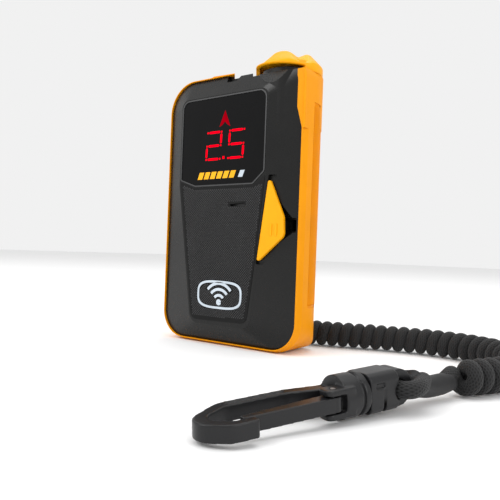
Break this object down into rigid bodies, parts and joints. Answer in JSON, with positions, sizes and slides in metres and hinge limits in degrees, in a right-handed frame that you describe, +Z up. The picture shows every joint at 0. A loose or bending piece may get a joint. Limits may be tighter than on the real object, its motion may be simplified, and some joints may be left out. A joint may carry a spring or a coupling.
{
  "type": "avalanche transceiver",
  "caption": "Upright handheld avalanche transceiver with rotary knob, sliding search tab, LED display, battery door, curly leash and swivel clip.",
  "frame": {"origin": "centre of the housing's footprint, on the surface it stands on", "axes": "+Z up along the housing, front face looks along -Y, +X to the right seen from the front"},
  "size_m": [0.1488, 0.1452, 0.1174],
  "materials": {
    "black_shell": "satin moulded plastic",
    "orange_rubber": "satin overmoulded rubber",
    "orange_plastic": "satin",
    "frame_grey": "satin",
    "window": "smoked, polished",
    "panel_rubber": "fine diamond texture",
    "dark_plastic": "fine matt",
    "steel": "plated",
    "seal_rubber": "matt",
    "board_green": "solder mask",
    "chip_black": "matt",
    "led_red": "lit red segments",
    "mesh_grey": "woven mesh",
    "ferrite": "sintered",
    "copper": "enamelled wire",
    "cell_jacket": "printed sleeve, no text",
    "anchor_grey": "blasted",
    "cord_black": "braided",
    "clip_plastic": "satin nylon"
  },
  "bodies": {
    "root": {"front_shell": "black_shell", "rear_shell": "black_shell", "tower_collar": "black_shell", "side_bumper": "orange_rubber", "right_grip_strip": "orange_rubber", "left_grip_strip": "orange_rubber", "top_pad": "orange_rubber", "display_frame": "frame_grey", "display_window": "window", "grip_panel": "panel_rubber", "knob_seal": "seal_rubber", "rotary_switch": "dark_plastic", "detent_spring": "steel", "housing_gasket": "seal_rubber", "housing_screws": "steel", "circuit_board": "board_green", "board_components": "chip_black", "led_display": "led_red", "speaker": "dark_plastic", "speaker_mesh": "mesh_grey", "main_antenna_rod": "ferrite", "cross_antenna_rod": "ferrite", "depth_antenna_rod": "ferrite", "main_antenna_winding": "copper", "cross_antenna_winding": "copper", "depth_antenna_winding": "copper", "battery_tray": "dark_plastic", "battery_cells": "cell_jacket", "battery_contacts": "steel", "door_seal": "seal_rubber", "door_hinge_pin": "steel", "leash_anchor": "anchor_grey", "leash_coil": "cord_black", "leash_lead": "cord_black", "leash_tail": "cord_black", "clip_swivel": "clip_plastic"},
    "knob": {"power_knob": "orange_plastic", "knob_shaft": "steel", "switch_cam": "dark_plastic"},
    "tab": {"search_tab": "orange_plastic", "tab_carrier": "dark_plastic", "tab_magnet": "steel"},
    "door": {"battery_door": "black_shell"},
    "coin_screw": {"door_screw": "steel"},
    "hook": {"clip_hook": "clip_plastic", "gate_pin": "steel", "gate_spring": "steel"},
    "gate": {"clip_gate": "clip_plastic"}
  },
  "joints": [
    {"name": "knob_turn", "type": "hinge", "parent": "root", "child": "knob", "pos_m": [0.021, 0, 0.1087], "axis": [0, 0, 1], "range_deg": [0, 90]},
    {"name": "tab_slide", "type": "slide", "parent": "root", "child": "tab", "axis": [1, 0, 0], "range_m": [0, 0.003]},
    {"name": "door_open", "type": "hinge", "parent": "root", "child": "door", "pos_m": [0, 0.0124, 0.0713], "axis": [1, 0, 0], "range_deg": [0, 90]},
    {"name": "coin_screw_turn", "type": "hinge", "parent": "door", "child": "coin_screw", "pos_m": [0, 0.012, 0.0149], "axis": [0, 1, 0], "continuous": true},
    {"name": "clip_swivel_turn", "type": "hinge", "parent": "root", "child": "hook", "pos_m": [0.08428, -0.06381, 0.00594], "axis": [-0.3893, -0.9183, -0.0719], "continuous": true},
    {"name": "gate_press", "type": "hinge", "parent": "hook", "child": "gate", "pos_m": [0.08324, -0.0742, 0.00522], "axis": [0.028, 0.0662, -0.9974], "range_deg": [0, 13], "stiffness_Nm_per_rad": 0.02, "springref_deg": -5.73}
  ]
}
